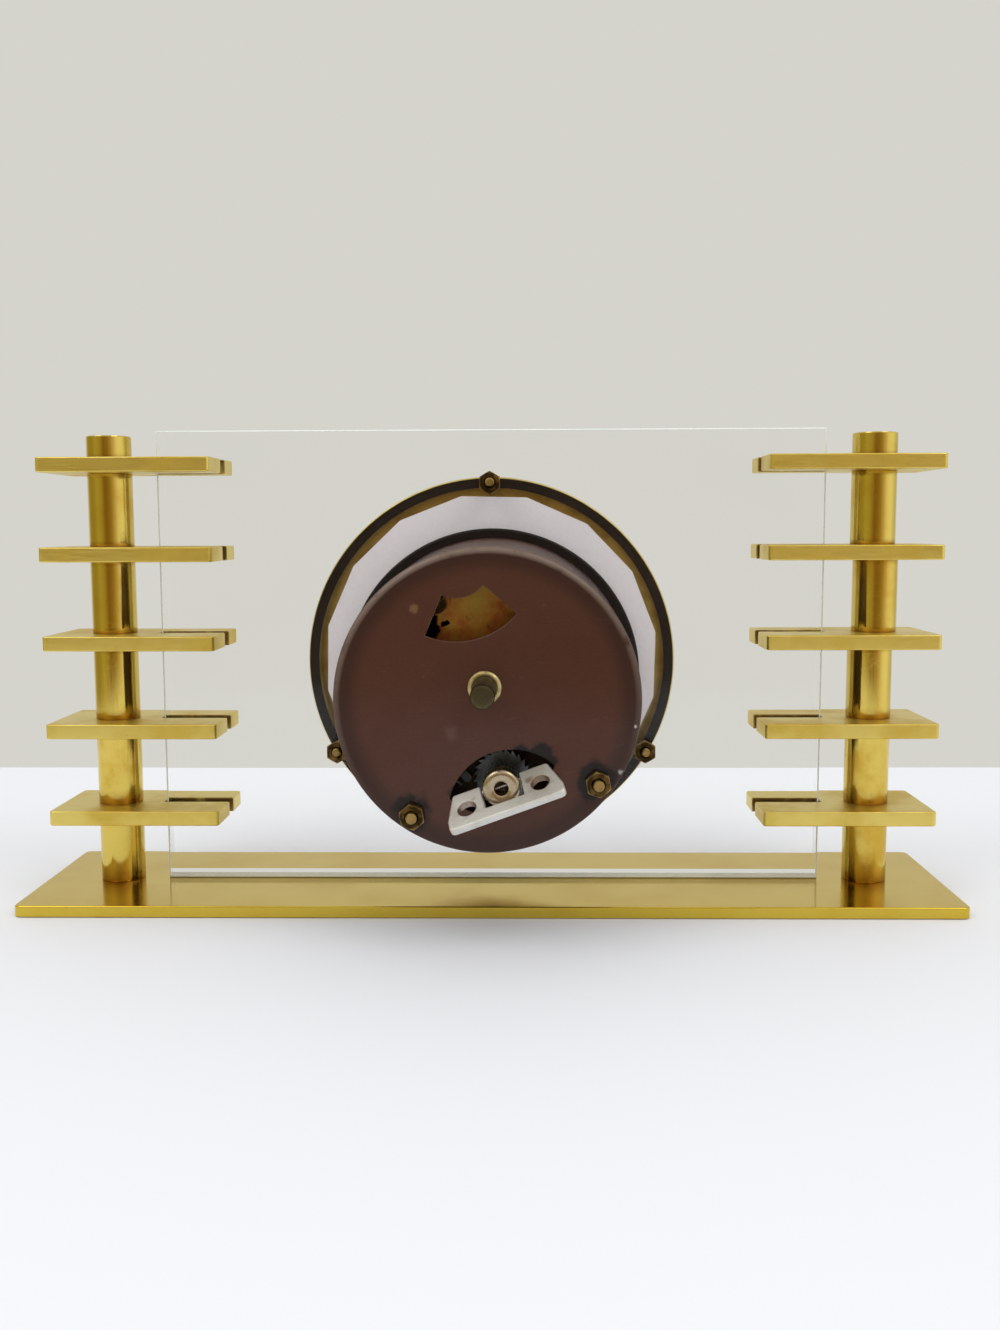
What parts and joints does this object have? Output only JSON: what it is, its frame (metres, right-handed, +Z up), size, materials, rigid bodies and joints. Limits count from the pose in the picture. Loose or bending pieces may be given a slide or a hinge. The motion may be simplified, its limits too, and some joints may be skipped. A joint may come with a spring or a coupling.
{
  "type": "mantel clock",
  "caption": "Free-standing mantel clock: a round head with a canned winding movement, set on a clear glass pane between finned brass columns on a flat brass base.",
  "frame": {"origin": "middle of the base plate's underside", "axes": "+Z up, +X along the base, -Y the way the dial faces, +Y towards the winding key"},
  "size_m": [0.25, 0.1016, 0.1278],
  "materials": {
    "polished_brass": "polished",
    "clear_glass": "clear, polished",
    "bezel_brass": "polished, a little tarnished",
    "dial_enamel": "satin",
    "hand_black": "satin",
    "rim_black": "satin",
    "can_brown": "glossy lacquer",
    "movement_brass": "brushed, a little tarnished",
    "bright_steel": "fine ground",
    "knob_steel": "turned",
    "hub_nickel": "nickelled, worn",
    "wing_aluminium": "satin"
  },
  "bodies": {
    "frame": {"base_plate": "polished_brass", "column_bolts": "bright_steel", "left_spacers": "polished_brass", "right_spacers": "polished_brass", "left_cap": "polished_brass", "right_cap": "polished_brass", "left_fin_1": "polished_brass", "left_fin_2": "polished_brass", "left_fin_3": "polished_brass", "left_fin_4": "polished_brass", "left_fin_5": "polished_brass", "right_fin_1": "polished_brass", "right_fin_2": "polished_brass", "right_fin_3": "polished_brass", "right_fin_4": "polished_brass", "right_fin_5": "polished_brass", "glass_pane": "clear_glass", "bezel": "bezel_brass", "bezel_nuts": "bezel_brass", "dial_glass": "clear_glass", "dial": "dial_enamel", "dial_nuts": "bezel_brass", "mounting_ring": "rim_black", "movement_can": "can_brown", "setting_eyelet": "bezel_brass", "can_studs": "bright_steel", "can_nuts": "bezel_brass", "front_plate": "movement_brass", "back_plate": "movement_brass", "pillars": "movement_brass", "front_posts": "movement_brass", "click_spring": "bright_steel", "hairspring": "bright_steel", "pivot_screw": "bright_steel"},
    "winding": {"winding_arbor": "bright_steel", "ratchet_wheel": "bright_steel", "key_hub": "hub_nickel", "key_pin": "bright_steel"},
    "wing": {"key_wing": "wing_aluminium"},
    "going_barrel": {"barrel": "movement_brass", "barrel_cover": "movement_brass", "mainspring": "bright_steel"},
    "second": {"second_wheel": "movement_brass"},
    "centre": {"centre_wheel": "movement_brass"},
    "third": {"third_wheel": "movement_brass"},
    "fourth": {"fourth_wheel": "movement_brass"},
    "escape": {"escape_wheel": "movement_brass"},
    "lever": {"pallet_lever": "bright_steel"},
    "balance": {"balance_wheel": "movement_brass", "balance_staff": "bright_steel"},
    "regulating": {"regulator": "movement_brass"},
    "click_body": {"click": "bright_steel"},
    "setting": {"centre_arbor": "bright_steel", "setting_knob": "knob_steel", "cannon_pinion": "movement_brass", "minute_hand": "hand_black"},
    "minute_work": {"minute_wheel": "movement_brass"},
    "hour_work": {"hour_wheel": "movement_brass", "hour_hand": "hand_black"}
  },
  "joints": [
    {"name": "key_wind", "type": "hinge", "parent": "frame", "child": "winding", "pos_m": [-0.00398, 0.06, 0.04145], "axis": [0, 1, 0], "continuous": true},
    {"name": "key_wing_fold", "type": "hinge", "parent": "winding", "child": "wing", "pos_m": [-0.00398, 0.06, 0.04145], "axis": [-0.9397, 0, 0.342], "range_deg": [-33, 57]},
    {"name": "barrel_turn", "type": "hinge", "parent": "frame", "child": "going_barrel", "pos_m": [-0.00398, 0.031, 0.04145], "axis": [0, 1, 0], "continuous": true},
    {"name": "second_turn", "type": "hinge", "parent": "frame", "child": "second", "pos_m": [0.00889, 0.031, 0.05225], "axis": [0, 1, 0], "continuous": true},
    {"name": "centre_turn", "type": "hinge", "parent": "frame", "child": "centre", "pos_m": [0, 0.031, 0.064], "axis": [0, 1, 0], "continuous": true},
    {"name": "third_turn", "type": "hinge", "parent": "frame", "child": "third", "pos_m": [-0.01178, 0.031, 0.0708], "axis": [0, 1, 0], "continuous": true},
    {"name": "fourth_turn", "type": "hinge", "parent": "frame", "child": "fourth", "pos_m": [-0.00981, 0.031, 0.08197], "axis": [0, 1, 0], "continuous": true},
    {"name": "escape_turn", "type": "hinge", "parent": "frame", "child": "escape", "pos_m": [-0.00124, 0.031, 0.07797], "axis": [0, 1, 0], "continuous": true},
    {"name": "lever_rock", "type": "hinge", "parent": "frame", "child": "lever", "pos_m": [0.00377, 0.042, 0.08006], "axis": [0, 1, 0], "range_deg": [-4, 4]},
    {"name": "balance_swing", "type": "hinge", "parent": "frame", "child": "balance", "pos_m": [0.01153, 0.038, 0.08329], "axis": [0, 1, 0], "range_deg": [-135, 135], "stiffness_Nm_per_rad": 0.000014},
    {"name": "regulator_turn", "type": "hinge", "parent": "frame", "child": "regulating", "pos_m": [0.01153, 0.048, 0.08329], "axis": [0, 1, 0], "range_deg": [-15, 15]},
    {"name": "click_lift", "type": "hinge", "parent": "frame", "child": "click_body", "pos_m": [0.00781, 0.0484, 0.04495], "axis": [0, 1, 0], "range_deg": [-8, 0], "stiffness_Nm_per_rad": 0.00003, "springref_deg": 57.3},
    {"name": "hand_setting", "type": "hinge", "parent": "frame", "child": "setting", "pos_m": [0, 0.066, 0.064], "axis": [0, 1, 0], "continuous": true},
    {"name": "minute_wheel_turn", "type": "hinge", "parent": "frame", "child": "minute_work", "pos_m": [0.00902, 0.015, 0.06728], "axis": [0, 1, 0], "continuous": true},
    {"name": "hour_turn", "type": "hinge", "parent": "frame", "child": "hour_work", "pos_m": [0, 0.012, 0.064], "axis": [0, 1, 0], "continuous": true}
  ],
  "couplings": [
    {"joint": "second_turn", "follows": "barrel_turn", "ratio": -6},
    {"joint": "centre_turn", "follows": "barrel_turn", "ratio": 30},
    {"joint": "third_turn", "follows": "barrel_turn", "ratio": -225},
    {"joint": "fourth_turn", "follows": "barrel_turn", "ratio": 1800},
    {"joint": "escape_turn", "follows": "barrel_turn", "ratio": -14400},
    {"joint": "minute_wheel_turn", "follows": "hand_setting", "ratio": -0.33333},
    {"joint": "hour_turn", "follows": "hand_setting", "ratio": 0.083333}
  ]
}
